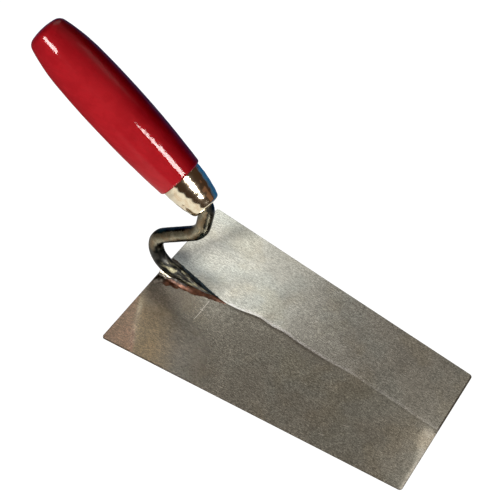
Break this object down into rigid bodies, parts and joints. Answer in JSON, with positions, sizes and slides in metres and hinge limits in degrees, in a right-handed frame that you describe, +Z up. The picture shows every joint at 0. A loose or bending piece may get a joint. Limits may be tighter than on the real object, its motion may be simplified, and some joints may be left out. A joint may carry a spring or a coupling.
{
  "type": "brick trowel",
  "caption": "Brick trowel with a trapezoid steel blade, an S-bent forged neck, a brass ferrule and a turned red lacquered wooden handle.",
  "frame": {"origin": "middle of the blade's flat sole, halfway between heel and toe", "axes": "+X along the blade from the heel towards the toe, +Y across the blade, +Z up from the sole"},
  "size_m": [0.298, 0.1296, 0.1583],
  "materials": {
    "blade_steel": "ground satin, lightly toned",
    "forged_steel": "dark forged and wire-brushed",
    "weld_metal": "heat-toned weld, roughly ground",
    "brass": "polished",
    "red_wood": "glossy red lacquer on turned wood"
  },
  "bodies": {
    "root": {"blade": "blade_steel", "neck": "forged_steel", "weld_left": "weld_metal", "weld_right": "weld_metal", "weld_heel": "weld_metal", "ferrule": "brass", "handle": "red_wood"}
  },
  "joints": []
}
